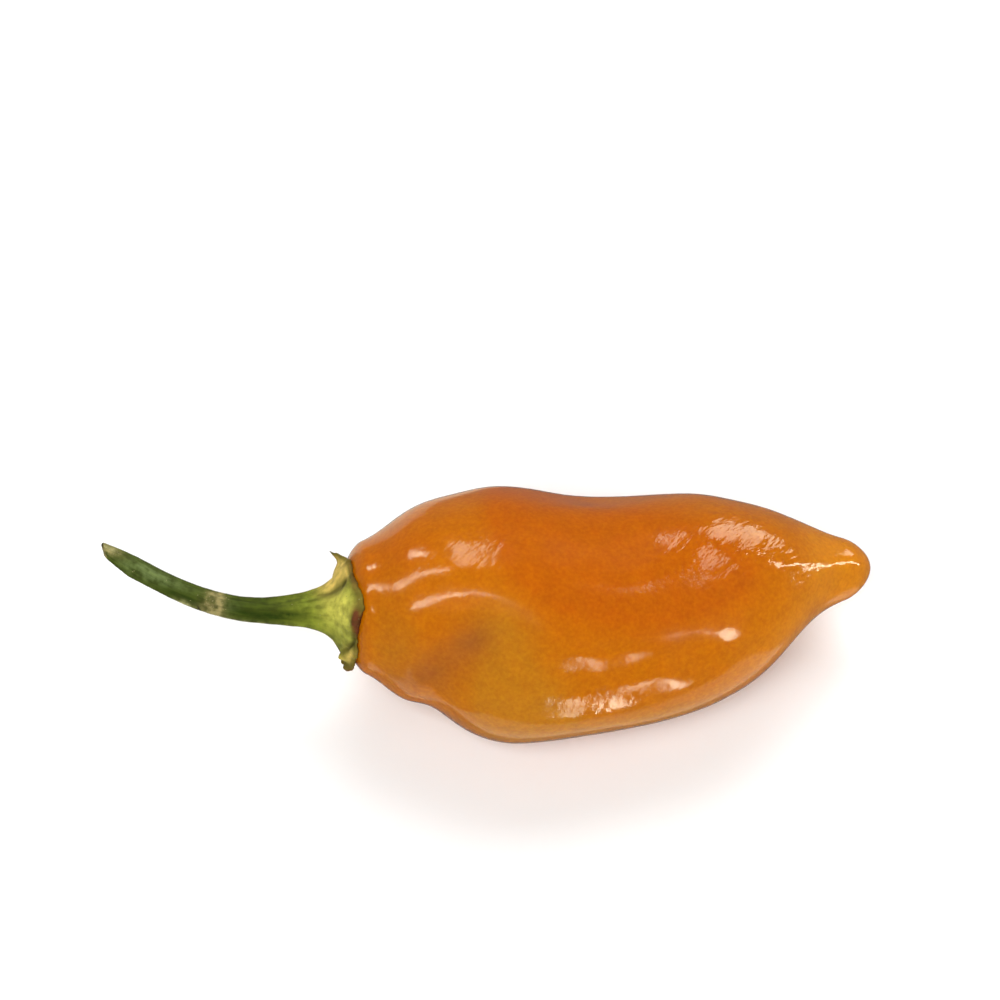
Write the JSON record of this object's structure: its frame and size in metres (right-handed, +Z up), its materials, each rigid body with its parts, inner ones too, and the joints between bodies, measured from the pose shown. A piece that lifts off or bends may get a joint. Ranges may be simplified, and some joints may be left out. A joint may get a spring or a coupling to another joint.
{
  "type": "chilli pepper",
  "caption": "Fresh orange chilli pepper with a wrinkled, pointed, lantern-shaped pod and a curved green stem, lying on its side.",
  "frame": {"origin": "on the surface that it rests on, under the middle of the whole chilli's length and width", "axes": "+X from the stem's cut end towards the pod's tip, +Z up as it lies"},
  "size_m": [0.0896, 0.03, 0.0274],
  "materials": {
    "pod_skin": "smooth waxy orange fruit skin, glossy, fine wrinkles",
    "stem_skin": "green plant stem, satin, ribbed, browning at the calyx rim"
  },
  "bodies": {
    "root": {"pod": "pod_skin", "stem_and_calyx": "stem_skin"}
  },
  "joints": []
}
